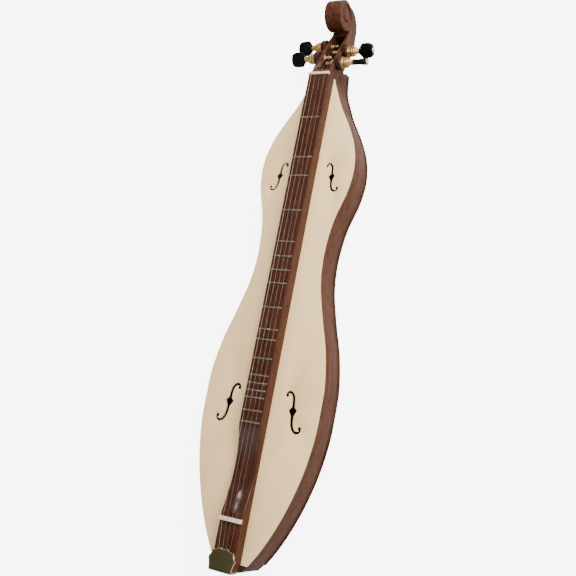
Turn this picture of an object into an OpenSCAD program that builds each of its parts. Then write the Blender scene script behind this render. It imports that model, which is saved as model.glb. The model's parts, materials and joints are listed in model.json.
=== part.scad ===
// Mountain dulcimer: hourglass body lying on its back, scroll head towards +Y, face up.

/* [Scale] */
// Vibrating string length, from the nut to the front of the bridge
string_length = 700; // [696:1:704]
// Number of strings
string_count = 4; // [4:1:4]

/* [Body] */
// Height of the soundboard's face above the back
body_depth = 57.5; // [54:0.5:62]
// Half-width of the upper bout
upper_bout = 80; // [78:0.5:82]
// Half-width of the waist
waist = 56.6; // [54:0.2:60]
// Half-width of the lower bout
lower_bout = 96.8; // [94:0.2:100]
// Thickness of the soundboard and of the back
plate_t = 3; // [2.5:0.5:3.5]
// Thickness of the bent ribs
rib_t = 2.5; // [2:0.5:3]
// How far the back stands out beyond the ribs
back_edge = 1.5; // [0.5:0.5:2]

/* [Fretboard] */
// Width of the fretboard
board_w = 36; // [34:0.5:38]
// Height of the fretboard above the soundboard
board_h = 21.4; // [20:0.2:23]
// Depth of the scoop where the player strums
scoop_depth = 12.4; // [9:0.2:13]
// Height of the fret crowns
fret_h = 1; // [0.8:0.1:1.2]
// Height of the strings above the board at the nut
nut_action = 1.9; // [1.7:0.1:2.1]
// Height of the strings above the board at the bridge
bridge_action = 4.4; // [4.2:0.1:4.6]

/* [Head] */
// Length of the head beyond the nut
head_length = 145; // [145:1:146]
// Half-width of the pegbox where the pegs are
pegbox_half = 17.5; // [17:0.5:18]
// Half-width of the string cavity
cavity_half = 11; // [10.5:0.5:11.5]
// Radius of the scroll's volute
volute_r = 25; // [24:0.5:25]

/* [Tuners] */
// Module of the planetary gears
gear_module = 0.4; // [0.4:0.1:0.4]
// Teeth on the sun gear and on each planet
small_teeth = 12; // [12:4:12]
// Outer radius of the gear housing
housing_r = 9; // [8.8:0.1:9.4]
// Radius of the string post
post_r = 3; // [2.8:0.1:3]
// Length of the tuner button
button_l = 23.5; // [23:0.5:24.5]
// Width of the tuner button
button_w = 24.5; // [22:0.5:25]

/* [Tailpiece] */
// Width of the tailpiece cover over its widest points
cover_w = 45; // [43:0.5:46]
// Thickness of the cover's sheet
cover_t = 1; // [0.8:0.1:1]

/* [Hidden] */
$fn = 48;

spruce = "#ead7b5";
rosewood = "#6b3626";
dark_wood = "#43241c";
bone = "#efe9da";
nickel = "#c9c8c2";
gold = "#d9b45a";
brass = "#8f8550";
black = "#141414";

// Lengthwise positions are distances from the nut towards the tail; the head is negative.
wood_tail = 770;
rib_end = 760;
tail_reach = wood_tail + 2.3;
nut_y = (tail_reach - head_length) / 2;
board_top = body_depth + board_h;
board_half = board_w / 2;
heel_z = 27.9;
heel_end = 32.5;
head_end = 36;
bridge_d = string_length - 2.5;
bridge_t = 5.5;
fit_gap = 0.05;

function at(d) = nut_y - d;

// Half-width of the body against distance from the nut, through a few stations.
stations = [
    [-head_end, 14.5], [0, 19], [20, 26.6], [50, 40.2], [80, 57.5], [115, 73.2],
    [152, upper_bout], [190, 76.3], [240, 62.3], [292, waist], [340, 60], [390, 72.5],
    [440, 87.3], [490, 96], [525, lower_bout], [565, 95.7], [610, 89.4], [650, 79.4],
    [690, 65.4], [730, 46.7], [rib_end, 28], [wood_tail, 19]
];

function limit(i, n) = max(0, min(n - 1, i));
function slope_at(p, i) =
    let (a = p[limit(i - 1, len(p))], b = p[limit(i + 1, len(p))])
    (b[1] - a[1]) / (b[0] - a[0]);
// Smooth curve through the points p, read at x (cubic pieces with matched slopes).
function through(p, x) =
    let (
        n = len(p),
        i = max(0, min(n - 2, len([for (s = p) if (s[0] <= x) 1]) - 1)),
        h = p[i + 1][0] - p[i][0],
        t = (x - p[i][0]) / h,
        m0 = slope_at(p, i) * h,
        m1 = slope_at(p, i + 1) * h
    )
    p[i][1] * (2 * t * t * t - 3 * t * t + 1) + m0 * (t * t * t - 2 * t * t + t)
    + p[i + 1][1] * (3 * t * t - 2 * t * t * t) + m1 * (t * t * t - t * t);

function half_width(d) = through(stations, d);
// A rib's inner face, kept one rib thickness in from the outer face.
function inset(d, t) =
    let (s = half_width(d + 0.5) - half_width(d - 0.5))
    half_width(d) - t * sqrt(1 + s * s);
function steps(a, b, step) = let (n = ceil((b - a) / step)) [for (i = [0:n]) a + (b - a) * i / n];

// One side of the body seen from above: from x = inner to the outline moved in by t.
module half_plan(side, a, b, inner, t) {
    ds = steps(a, b, 7);
    polygon(concat(
        [for (d = ds) [side * inset(d, t), at(d)]],
        [[side * inner, at(b)], [side * inner, at(a)]]
    ));
}

// A band that follows one side of the outline, between insets t_out and t_in.
module side_band(side, a, b, t_out, t_in) {
    ds = steps(a, b, 7);
    n = len(ds) - 1;
    polygon(concat(
        [for (i = [0:n]) [side * inset(ds[i], t_out), at(ds[i])]],
        [for (i = [0:n]) [side * inset(ds[n - i], t_in), at(ds[n - i])]]
    ));
}

// ---- Soundboard ----

// Centre line of an f-hole and its half-width there: [outboard, towards the tail, half-width].
f_line = [
    [-13.6, -22.6, 1.9], [-12.2, -24.9, 1.8], [-8.9, -26.1, 1.9], [-5, -24.1, 2.2],
    [-1.9, -19, 2.5], [-0.7, -12.4, 2.6], [-0.2, -5.8, 2.8], [0.3, 0, 3.2],
    [0.6, 7.5, 2.9], [1.1, 15.3, 2.7], [2.8, 23.1, 2.6], [6.1, 28.7, 2.3],
    [10.6, 31.1, 2], [15, 30.1, 1.9], [17.2, 27, 1.8], [16.9, 24.6, 1.8]
];
f_ball_r = 2.9;
f_hole_places = [[45.4, 167.2, 0.79], [53.8, 533.5, 1]];

function unit(v) = v / norm(v);
function f_side(i, s) =
    let (
        n = len(f_line), a = f_line[limit(i - 1, n)], b = f_line[limit(i + 1, n)],
        t = unit([b[0] - a[0], b[1] - a[1]])
    )
    [f_line[i][0] - s * t[1] * f_line[i][2], f_line[i][1] + s * t[0] * f_line[i][2]];

module f_hole_plan() {
    n = len(f_line) - 1;
    polygon(concat([for (i = [0:n]) f_side(i, 1)], [for (i = [0:n]) f_side(n - i, -1)]));
    translate([-12.8, -21.1]) circle(f_ball_r, $fn = 24);
    translate([15.6, 24.4]) circle(f_ball_r, $fn = 24);
    polygon([[-7.2, 0.7], [-2.4, -5], [2.4, -5], [7.2, -0.2], [3.5, 8], [-2.6, 8]]);
}

module f_holes(side) {
    for (f = f_hole_places)
        translate([side * f[0], at(f[1]), body_depth - plate_t - 1])
            linear_extrude(plate_t + 2)
                scale(f[2]) polygon_flip(side) f_hole_plan();
}

// Turns a plan drawn as [outboard, towards the tail] into the part's own X and Y.
module polygon_flip(side) {
    mirror([0, 1]) if (side > 0) children(); else mirror([1, 0]) children();
}

module soundboard_half(side) {
    color(spruce) difference() {
        translate([0, 0, body_depth - plate_t])
            linear_extrude(plate_t) half_plan(side, 0, rib_end, 0, 0);
        f_holes(side);
    }
}

// ---- Back, ribs and the framing inside ----

strip_half = 4;

module back_half(side) {
    color(rosewood)
        linear_extrude(plate_t) half_plan(side, -head_end, rib_end, strip_half, -back_edge);
}

module back_centre_strip() {
    color(dark_wood)
        translate([-strip_half, at(rib_end), 0])
            cube([2 * strip_half, rib_end + head_end, plate_t]);
}

module rib(side) {
    color(rosewood)
        translate([0, 0, plate_t])
            linear_extrude(body_depth - 2 * plate_t) side_band(side, 0, rib_end, 0, rib_t);
}

// Glue line between the ribs and what is fitted inside them.
glue = 0.15;
head_block_in = 26;
tail_block_in = 722;

module head_block() {
    color(rosewood) {
        translate([0, 0, plate_t]) linear_extrude(body_depth - 2 * plate_t) {
            half_plan(1, 0, head_block_in, 0, rib_t + glue);
            half_plan(-1, 0, head_block_in, 0, rib_t + glue);
        }
        difference() {
            translate([0, 0, plate_t]) linear_extrude(heel_z - plate_t) {
                half_plan(1, -head_end, 0, 0, 0);
                half_plan(-1, -head_end, 0, 0, 0);
            }
            cove();
        }
    }
}

// The hollow under the pegbox, where the end of the body is cut back.
cove_r = 15;
module cove() {
    translate([-30, at(-head_end) + 9.5, heel_z - 6]) rotate([0, 90, 0]) cylinder(60, r = cove_r);
}

module tail_block() {
    color(dark_wood) {
        translate([0, 0, plate_t]) linear_extrude(body_depth - 2 * plate_t) {
            half_plan(1, tail_block_in, rib_end, 0, rib_t + glue);
            half_plan(-1, tail_block_in, rib_end, 0, rib_t + glue);
        }
        linear_extrude(body_depth) {
            half_plan(1, rib_end, wood_tail, 0, 0);
            half_plan(-1, rib_end, wood_tail, 0, 0);
        }
    }
}

lining_w = 5;
lining_h = 8;
module linings(z) {
    color(spruce)
        for (side = [-1, 1])
            translate([0, 0, z]) linear_extrude(lining_h)
                side_band(side, head_block_in, tail_block_in, rib_t + glue, rib_t + lining_w);
}
module top_linings() { linings(body_depth - plate_t - lining_h); }
module back_linings() { linings(plate_t); }

// Bars across the inside, ending clear of the linings: [distance from the nut, ...].
module braces(places, z) {
    color(spruce)
        for (d = places) {
            half = min(inset(d - 4, rib_t + lining_w), inset(d + 4, rib_t + lining_w)) - 1;
            translate([-half, at(d) - 4, z]) cube([2 * half, 8, 10]);
        }
}
module top_braces() { braces([105, 230, 420, 630], body_depth - plate_t - 10); }
module back_braces() { braces([120, 300, 460, 640], plate_t); }

// ---- Fretboard ----

// Semitones of the frets above the open string: a diatonic scale with 6+ and 13+ added.
semitones = [2, 4, 5, 7, 9, 10, 11, 12, 14, 16, 17, 19, 21, 22, 23, 24, 26, 28];
fret_ds = [for (s = semitones) string_length * (1 - pow(2, -s / 12))];
fret_half = 16;
tang = [0.5, 1.8];
nut_t = 4;
nut_ledge = 3;
bridge_slot = 1.5;
// The strumming scoop: [distance from the nut, share of the full depth].
scoop = [
    [563, 0], [575, 0.26], [590, 0.68], [606, 0.93], [627, 1], [650, 0.87], [672, 0.45], [693, 0]
];

module along_x(length) {
    rotate([90, 0, 90]) linear_extrude(length, center = true) children();
}

module scoop_plan() {
    ds = steps(scoop[0][0], scoop[len(scoop) - 1][0], 5);
    polygon(concat(
        [for (d = ds) [at(d), board_top - scoop_depth * max(0, through(scoop, d))]],
        [[at(scoop[len(scoop) - 1][0]), board_top + 5], [at(scoop[0][0]), board_top + 5]]
    ));
}

module fretboard() {
    color(rosewood) difference() {
        translate([-board_half, at(wood_tail), body_depth])
            cube([board_w, wood_tail + nut_t / 2, board_h]);
        along_x(board_w + 2) scoop_plan();
        // hollow underneath
        translate([-7, at(550), body_depth - 1]) cube([14, 530, 10]);
        // ledge for the nut and slot for the bridge
        translate([-board_half - 1, at(nut_t / 2), board_top - nut_ledge])
            cube([board_w + 2, nut_t + 1, nut_ledge + 1]);
        translate([-board_half - 1, at(bridge_d + bridge_t), board_top - bridge_slot])
            cube([board_w + 2, bridge_t, bridge_slot + 1]);
        for (d = fret_ds)
            translate([-board_half - 1, at(d) - tang[0] / 2 - fit_gap, board_top - tang[1] - 0.2])
                cube([board_w + 2, tang[0] + 2 * fit_gap, tang[1] + 1]);
    }
}

crown_r = 1.3;
module fret_plan() {
    intersection() {
        translate([0, fret_h - crown_r]) circle(crown_r, $fn = 24);
        translate([-2, 0]) square([4, 2]);
    }
    translate([-tang[0] / 2, -tang[1]]) square([tang[0], tang[1] + 0.1]);
}
module frets() {
    color(nickel)
        for (d = fret_ds)
            translate([0, at(d), board_top]) along_x(2 * fret_half) fret_plan();
}

// ---- Strings ----

// Strings run from 1 on the bass side to 4 on the treble side.
string_rs = [0.28, 0.18, 0.15, 0.15];
nut_xs = [-12, -4, 4, 12];
bridge_xs = [-11, -3.7, 3.7, 11];
hook_xs = [-9, -3, 3, 9];
hook_d = 757;
hook_r = 1.1;
loop_z = board_top + 1.9;
slot_w = 0.8;

module string_slots(xs, d, depth, z) {
    for (i = [0:string_count - 1])
        translate([xs[i] - slot_w / 2, at(d) - 1, z - string_rs[i] - fit_gap])
            cube([slot_w, depth + 2, 4]);
}

module nut() {
    color(bone) difference() {
        translate([-board_half, at(nut_t / 2), board_top - nut_ledge])
            cube([board_w, nut_t, nut_ledge + nut_action + 0.3]);
        string_slots(nut_xs, nut_t / 2, nut_t, board_top + nut_action);
    }
}

module bridge() {
    color(bone) difference() {
        translate([-board_half, at(bridge_d + bridge_t), board_top - bridge_slot])
            cube([board_w, bridge_t, bridge_slot + bridge_action + 0.2]);
        string_slots(bridge_xs, bridge_d + bridge_t, bridge_t, board_top + bridge_action);
    }
}

// Pegs by string, 1 to 4: [side, distance beyond the nut, drop below the board's top, button turn].
pegs = [[-1, 44, 29.5, -32], [-1, 74, 45.5, -20], [1, 58, 37.5, 47], [1, 29, 22, -58]];
post_xs = [-4.6, -1.8, 1.8, 4.6];
string_gap = 0.3;

function peg_y(i) = at(-pegs[i][1]);
function peg_z(i) = board_top - pegs[i][2];

// Where a straight run from [y, z] touches the top of string i's post.
function post_touch(i, from) =
    let (
        r = post_r + string_gap + string_rs[i],
        v = from - [peg_y(i), peg_z(i)],
        a = atan2(v[1], v[0]) - acos(r / norm(v))
    )
    [peg_y(i) + r * cos(a), peg_z(i) + r * sin(a)];

// Direction of a route at point k, halfway between the runs on its two sides.
function heading(route, k) =
    let (n = len(route), a = route[limit(k - 1, n)], b = route[limit(k + 1, n)])
    k > 0 && k < n - 1 ? unit(unit(route[k] - a) + unit(b - route[k])) : unit(b - a);

wire_sides = 8;
function wire_ring(route, k, r) =
    let (t = heading(route, k), side = unit(cross(t, [0, 0, 1])), up = cross(side, t))
    [for (j = [0:wire_sides - 1])
        let (a = 360 * j / wire_sides) route[k] + r * (cos(a) * side + sin(a) * up)];

// A wire of radius r along the route, one ring of points at each of its corners.
module wire(route, r) {
    n = len(route);
    m = wire_sides;
    polyhedron(
        [for (k = [0:n - 1]) each wire_ring(route, k, r)],
        concat(
            [[for (j = [0:m - 1]) j]],
            [for (k = [0:n - 2]) for (j = [0:m - 1])
                [k * m + j, (k + 1) * m + j, (k + 1) * m + (j + 1) % m, k * m + (j + 1) % m]],
            [[for (j = [0:m - 1]) (n - 1) * m + m - 1 - j]]
        )
    );
}

module string(i) {
    r = string_rs[i];
    nut_z = board_top + nut_action;
    nut_back = at(-nut_t / 2);
    touch = post_touch(i, [nut_back, nut_z]);
    loop_r = hook_r + 0.3 + r;
    x = hook_xs[i];
    y = at(hook_d);
    color(nickel) wire(concat(
        [
            [post_xs[i], touch[0], touch[1]],
            [nut_xs[i], nut_back, nut_z],
            [nut_xs[i], at(nut_t / 2), nut_z],
            [bridge_xs[i], at(bridge_d), board_top + bridge_action],
            [bridge_xs[i], at(bridge_d + bridge_t), board_top + bridge_action],
            [x, y + 6, loop_z]
        ],
        [for (a = [0:-20:-180]) [x + loop_r * cos(a), y + loop_r * sin(a), loop_z]],
        [[x - 0.9, y + 3.5, loop_z]]
    ), r);
}

// ---- Pegbox and scroll ----

// Heights here are drops below the top of the fretboard; lengths are beyond the nut.
cheek = [2.5, 0.465];
under = [38.1, 0.43];
throat = [98, 48];
volute = [120, 28];
bow = [112, 46.4, 32];
cavity_a = 12;
cavity_b = 95;
floor_t = 8;

function hy(y) = at(-y);
function hz(drop) = board_top - drop;
function cheek_z(y) = hz(cheek[0] + cheek[1] * y);
function under_z(y) = hz(under[0] + under[1] * y);

module head_side() {
    polygon([
        [hy(0), heel_z], [hy(0), body_depth], [hy(2), body_depth], [hy(2), cheek_z(2)],
        [hy(throat[0]), cheek_z(throat[0])], [hy(112), hz(46)], [hy(108), 0.9],
        [hy(92), under_z(92)], [hy(heel_end), heel_z]
    ]);
    translate([hy(volute[0]), hz(volute[1])]) circle(volute_r, $fn = 72);
    intersection() {
        translate([hy(bow[0]), hz(bow[1])]) circle(bow[2], $fn = 96);
        polygon([[hy(throat[0]), hz(50)], [hy(150), hz(30)], [hy(150), -5], [hy(85), -5]]);
    }
}

// Half-widths of the head seen from above, against distance beyond the nut.
scroll_half = 15;
head_halves = [
    [0, 18], [10, pegbox_half], [70, pegbox_half], [84, 17], [98, 15.6],
    [110, scroll_half], [150, scroll_half]
];
heel_halves = [for (y = steps(0, head_end - 2, 6)) [y, half_width(-y)]];

module head_plan(halves) {
    n = len(halves) - 1;
    polygon(concat(
        [for (i = [0:n]) [halves[i][1], hy(halves[i][0])]],
        [for (i = [0:n]) [-halves[n - i][1], hy(halves[n - i][0])]]
    ));
}

module cavity() {
    along_x(2 * cavity_half)
        polygon([
            [hy(cavity_a), hz(0)], [hy(cavity_a), under_z(cavity_a) + floor_t],
            [hy(cavity_b), under_z(cavity_b) + floor_t], [hy(cavity_b), hz(44)],
            [hy(cavity_b - 12), hz(0)]
        ]);
}

// One turn of the scroll's groove, cut into each side: outer and inner radius shrink together.
groove_t = 3;
function spiral(a, r) = [r * cos(a), r * sin(a)];
module groove_plan() {
    turn = [for (a = [-200:10:160]) a];
    n = len(turn) - 1;
    polygon(concat(
        [for (a = turn) spiral(a, 13.5 + 6 * (a + 200) / 360)],
        [for (i = [0:n]) spiral(turn[n - i], 9.5 + 5.5 * (turn[n - i] + 200) / 360)]
    ));
}

eye_r = 8;
module pegbox_and_scroll() {
    color(rosewood) difference() {
        union() {
            intersection() {
                along_x(60) head_side();
                union() {
                    translate([0, 0, body_depth]) linear_extrude(60) head_plan(head_halves);
                    translate([0, 0, heel_z]) linear_extrude(body_depth - heel_z)
                        head_plan(heel_halves);
                    linear_extrude(body_depth) head_plan([for (h = head_halves) if (h[0] > 20) h]);
                }
            }
            translate([0, hy(volute[0]), hz(volute[1])])
                rotate([0, 90, 0]) cylinder(2 * scroll_half + 2.4, r = eye_r, center = true);
        }
        cavity();
        for (side = [-1, 1])
            translate([side * scroll_half, hy(volute[0]), hz(volute[1])])
                along_x(2 * groove_t) groove_plan();
        for (i = [0:3]) on_peg(i) translate([0, 0, -10]) cylinder(12, r = sleeve_r + 0.1);
        for (i = [0:3]) on_peg(i) cylinder(12, r = boss_r + 0.1);
    }
}

// ---- Tuners ----
// Each tuner is drawn along +Z from the outside of the pegbox's cheek.

boss_r = 11.5;
boss_l = 9.5;
sleeve_r = 4.2;
cheek_t = pegbox_half - cavity_half;
run_gap = 0.05;
housing_l = 14;
neck_l = 2;
shaft_r = 2;
pitch_r = gear_module * small_teeth / 2;
planet_at = 2 * pitch_r;
ring_teeth = 3 * small_teeth;
tooth_up = 0.35;
tooth_down = 0.5;
gear_z = boss_l + 3.6;
gear_l = 2.8;

module on_peg(i) {
    translate([pegs[i][0] * pegbox_half, peg_y(i), peg_z(i)])
        rotate([0, pegs[i][0] * 90, 0]) children();
}

// Gear outline with straight-sided teeth: half-thickness of a tooth at its root and its tip.
function gear_outline(teeth, root_r, tip_r, root_half, tip_half, phase) = [
    for (i = [0:teeth - 1])
        for (q = [[root_r, -root_half], [tip_r, -tip_half], [tip_r, tip_half], [root_r, root_half]])
            let (a = phase + 360 * i / teeth + q[1] / q[0] * 180 / PI)
            [q[0] * cos(a), q[0] * sin(a)]
];
root_half = 0.36;
tip_half = 0.12;

module small_gear(phase) {
    polygon(gear_outline(
        small_teeth, pitch_r - tooth_down, pitch_r + tooth_up, root_half, tip_half, phase
    ));
}

module peg_bosses() {
    color(dark_wood)
        for (i = [0:3])
            on_peg(i) difference() {
                cylinder(boss_l, r = boss_r);
                translate([0, 0, -1]) cylinder(boss_l + 2, r = sleeve_r + 0.1);
            }
}

nut_h = 2.4;
module peg_nuts() {
    color(gold)
        for (i = [0:3])
            on_peg(i) translate([0, 0, -cheek_t - nut_h]) difference() {
                cylinder(nut_h, r = 5.8, $fn = 6);
                translate([0, 0, -1]) cylinder(nut_h + 2, r = sleeve_r + run_gap);
            }
}

// Threaded sleeve with the flange that closes the housing.
flange_t = 1.5;
module sleeve(i) {
    color(gold) on_peg(i) difference() {
        union() {
            translate([0, 0, -cheek_t - nut_h]) cylinder(cheek_t + nut_h + boss_l, r = sleeve_r);
            translate([0, 0, boss_l]) cylinder(flange_t, r = housing_r);
        }
        translate([0, 0, -cheek_t - nut_h - 1]) cylinder(40, r = post_r + run_gap);
    }
}

// Gear housing with the fixed ring gear cut inside.
module housing(i) {
    wall_end = boss_l + 9.2;
    color(gold) on_peg(i) difference() {
        rotate_extrude() polygon([
            [0, boss_l + flange_t], [housing_r, boss_l + flange_t], [housing_r, boss_l + 5],
            [housing_r - 0.6, boss_l + 5.4], [housing_r - 0.6, boss_l + 6],
            [housing_r, boss_l + 6.4], [housing_r, boss_l + 10.6], [housing_r - 1.6, boss_l + 12],
            [5.6, boss_l + 12.6], [4.4, boss_l + housing_l],
            [4.4, boss_l + housing_l + neck_l], [0, boss_l + housing_l + neck_l]
        ]);
        translate([0, 0, boss_l]) cylinder(gear_z - 0.2 - boss_l, r = 7.9);
        translate([0, 0, gear_z - 0.3]) linear_extrude(gear_l + 0.6)
            polygon(gear_outline(
                ring_teeth, 3 * pitch_r + tooth_down, 3 * pitch_r - tooth_up,
                root_half, tip_half, 0
            ));
        translate([0, 0, gear_z + gear_l]) cylinder(wall_end - gear_z - gear_l, r = 6.7);
        cylinder(60, r = shaft_r + run_gap);
    }
}

shaft_end = 45;
ferrule_z = boss_l + housing_l + neck_l + 0.3;
button_z = ferrule_z + 2.5;
screw_r = 1.2;

module sun_shaft(i) {
    color(gold) on_peg(i) difference() {
        union() {
            translate([0, 0, gear_z]) linear_extrude(gear_l) small_gear(0);
            translate([0, 0, gear_z + gear_l]) cylinder(shaft_end - gear_z - gear_l, r = shaft_r);
            translate([0, 0, gear_z + gear_l + 0.5]) cylinder(2, r = 3.2);
            translate([0, 0, ferrule_z]) cylinder(button_z - ferrule_z, r = 4.8);
        }
        translate([0, 0, shaft_end - 6]) cylinder(7, r = screw_r + fit_gap);
    }
}

// Button seen from the side: half-thickness along its length.
neck_half = 4.4;
shoulder = 0.22;
button_side = [[0, neck_half], [4, 4], [9, 3.7], [14.5, 4.2], [20, 5.2], [button_l, 5.6]];
// Button seen from its face: half-width along its length.
function button_face(z) =
    let (t = z / button_l)
    t < shoulder
    ? neck_half + (0.5 * button_w - neck_half)
        * sqrt(1 - pow(1 - t / shoulder, 2)) * pow(t / shoulder, 0.8)
    : 0.5 * button_w * sqrt(1 - pow((t - 0.5) / 0.62, 4));

module mirrored_outline(points) {
    n = len(points) - 1;
    polygon(concat(
        [for (p = points) [p[1], p[0]]],
        [for (i = [0:n]) [-points[n - i][1], points[n - i][0]]]
    ));
}

module button(i) {
    zs = steps(0, button_l, 1);
    color(black) on_peg(i) translate([0, 0, button_z]) rotate([0, 0, pegs[i][3]]) difference() {
        intersection() {
            rotate([90, 0, 0]) linear_extrude(40, center = true)
                mirrored_outline([for (z = zs) [z, through(button_side, z)]]);
            rotate([90, 0, 90]) linear_extrude(40, center = true)
                mirrored_outline([for (z = zs) [z, button_face(z)]]);
        }
        translate([0, 0, -1]) cylinder(shaft_end - button_z + 1, r = shaft_r + fit_gap);
        cylinder(button_l + 1, r = screw_r + fit_gap);
    }
}

module button_screw(i) {
    color(gold) on_peg(i) {
        translate([0, 0, shaft_end - 5]) cylinder(button_z + button_l - shaft_end + 5.5, r = screw_r);
        translate([0, 0, button_z + button_l]) rotate_extrude() polygon([
            [0, 0], [4.2, 0], [4.2, 0.7], [3.4, 1.5], [1.8, 2], [0, 2.1]
        ]);
    }
}

post_tip = pegbox_half + 2;
carrier_z = boss_l + 1.8;
pin_r = 0.75;
module post(i) {
    color(gold) on_peg(i) difference() {
        union() {
            translate([0, 0, -post_tip]) cylinder(post_tip + carrier_z, r = post_r);
            translate([0, 0, carrier_z]) cylinder(1.5, r = 6.3);
            for (s = [-1, 1])
                translate([s * planet_at, 0, carrier_z + 1.4])
                    cylinder(gear_z + gear_l + 0.2 - carrier_z - 1.4, r = pin_r);
        }
        // hole that the string's end goes through
        translate([0, 0, -abs(pegbox_half - abs(post_xs[i])) - 0.9])
            rotate([90, 0, 0]) cylinder(20, r = 0.6, center = true);
    }
}

module planet(i, s) {
    color(nickel) on_peg(i) translate([s * planet_at, 0, gear_z]) difference() {
        linear_extrude(gear_l) small_gear(180 / small_teeth);
        translate([0, 0, -1]) cylinder(gear_l + 2, r = pin_r + run_gap);
    }
}

// ---- Tailpiece ----

base_t = 1;
base_half = 17.5;
leg_bottom = 40;
screw_spots = [[-9, 46], [9, 46], [0, 56]];
screw_hole_r = 1.6;

module tailpiece_base() {
    color(brass) difference() {
        union() {
            translate([-base_half, at(wood_tail), board_top])
                cube([2 * base_half, wood_tail - 746, base_t]);
            translate([-base_half, at(wood_tail + base_t), leg_bottom])
                cube([2 * base_half, base_t, board_top + base_t - leg_bottom]);
            for (x = hook_xs)
                translate([x, at(hook_d), board_top]) cylinder(3.1, r = hook_r, $fn = 24);
        }
        for (s = screw_spots)
            translate([s[0], at(wood_tail) + 1, s[1]])
                rotate([90, 0, 0]) cylinder(5, r = screw_hole_r);
    }
}

module tailpiece_screws() {
    color(nickel)
        for (s = screw_spots)
            translate([s[0], at(wood_tail + base_t), s[1]]) rotate([90, 0, 0]) {
                rotate_extrude() polygon([[0, 0], [3, 0], [2.6, 0.8], [1.4, 1.2], [0, 1.3]]);
                translate([0, 0, -base_t]) cylinder(base_t, r = screw_hole_r - fit_gap);
            }
}

// Scallop tips along one half of the cover's edge: [half-width, distance from the nut].
cover_tips = [[6.2, 739.3], [17.8, 743.6], [cover_w / 2, 754.5]];
cover_end = tail_reach;
scallop_sag = 1.5;

// Points of a shallow arc that dips towards the inside between two tips.
function scallop(a, b, sag) =
    let (v = b - a, n = [v[1], -v[0]] / norm(v))
    [for (k = [0:5]) let (t = k / 6) a + v * t - n * sag * 4 * t * (1 - t)];

function flip(p) = [-p[0], p[1]];
cover_edge = let (t = cover_tips) concat(
    scallop(flip(t[0]), t[0], scallop_sag), scallop(t[0], t[1], scallop_sag),
    scallop(t[1], t[2], scallop_sag), scallop(t[2], [18.6, cover_end], 0.8), [[18.6, cover_end]],
    [[-18.6, cover_end]], scallop([-18.6, cover_end], flip(t[2]), 0.8),
    scallop(flip(t[2]), flip(t[1]), scallop_sag), scallop(flip(t[1]), flip(t[0]), scallop_sag)
);

cover_z = board_top + 3.4;
lip_bottom = 64;
module tailpiece_cover() {
    color(brass) {
        translate([0, 0, cover_z]) linear_extrude(cover_t)
            polygon([for (p = cover_edge) [p[0], at(p[1])]]);
        translate([-18.6, at(cover_end), lip_bottom])
            cube([37.2, 1, cover_z + cover_t / 2 - lip_bottom]);
        // side flanges that slide along the base
        for (s = [-1, 1])
            translate([s > 0 ? base_half + 0.3 : -base_half - 1.1, at(cover_end), board_top + 0.3])
                cube([0.8, cover_end - 756, cover_z + cover_t / 2 - board_top - 0.3]);
    }
}

soundboard_half(-1);  // soundboard_bass_half
soundboard_half(1);  // soundboard_treble_half
back_half(-1);  // back_bass_half
back_half(1);  // back_treble_half
back_centre_strip();
rib(-1);  // bass_rib
rib(1);  // treble_rib
head_block();
tail_block();
top_linings();
back_linings();
top_braces();
back_braces();
fretboard();
frets();
nut();
bridge();
string(0);  // string_1
string(1);  // string_2
string(2);  // string_3
string(3);  // string_4
pegbox_and_scroll();
peg_bosses();
peg_nuts();
sleeve(0);  // sleeve_1
sleeve(1);  // sleeve_2
sleeve(2);  // sleeve_3
sleeve(3);  // sleeve_4
housing(0);  // housing_1
housing(1);  // housing_2
housing(2);  // housing_3
housing(3);  // housing_4
sun_shaft(0);  // sun_shaft_1
sun_shaft(1);  // sun_shaft_2
sun_shaft(2);  // sun_shaft_3
sun_shaft(3);  // sun_shaft_4
button(0);  // button_1
button(1);  // button_2
button(2);  // button_3
button(3);  // button_4
button_screw(0);  // button_screw_1
button_screw(1);  // button_screw_2
button_screw(2);  // button_screw_3
button_screw(3);  // button_screw_4
post(0);  // post_1
post(1);  // post_2
post(2);  // post_3
post(3);  // post_4
planet(0, 1);  // planet_1a
planet(0, -1);  // planet_1b
planet(1, 1);  // planet_2a
planet(1, -1);  // planet_2b
planet(2, 1);  // planet_3a
planet(2, -1);  // planet_3b
planet(3, 1);  // planet_4a
planet(3, -1);  // planet_4b
tailpiece_base();
tailpiece_screws();
tailpiece_cover();
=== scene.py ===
import bpy
import bmesh
import json
import math
from mathutils import Matrix, Vector

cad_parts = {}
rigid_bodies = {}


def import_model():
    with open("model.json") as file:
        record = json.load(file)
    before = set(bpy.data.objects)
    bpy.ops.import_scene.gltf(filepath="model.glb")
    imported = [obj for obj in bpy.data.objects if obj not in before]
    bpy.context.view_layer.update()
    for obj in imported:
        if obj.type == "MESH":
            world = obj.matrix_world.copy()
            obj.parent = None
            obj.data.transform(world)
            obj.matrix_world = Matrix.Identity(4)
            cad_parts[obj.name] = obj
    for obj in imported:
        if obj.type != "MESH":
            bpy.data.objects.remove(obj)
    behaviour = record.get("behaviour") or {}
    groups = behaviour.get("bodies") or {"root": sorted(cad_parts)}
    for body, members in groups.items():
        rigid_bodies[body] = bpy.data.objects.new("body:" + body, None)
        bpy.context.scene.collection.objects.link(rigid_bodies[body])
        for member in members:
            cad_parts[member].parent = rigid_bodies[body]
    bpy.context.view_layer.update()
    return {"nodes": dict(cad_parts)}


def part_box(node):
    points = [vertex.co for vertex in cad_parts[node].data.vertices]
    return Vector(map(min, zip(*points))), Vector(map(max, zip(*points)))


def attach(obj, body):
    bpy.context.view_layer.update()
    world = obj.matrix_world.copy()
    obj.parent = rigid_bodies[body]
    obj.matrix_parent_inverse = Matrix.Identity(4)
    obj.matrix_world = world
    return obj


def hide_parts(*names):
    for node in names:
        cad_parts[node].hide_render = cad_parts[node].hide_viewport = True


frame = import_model()
nodes = frame["nodes"]
mm = 0.001

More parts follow.
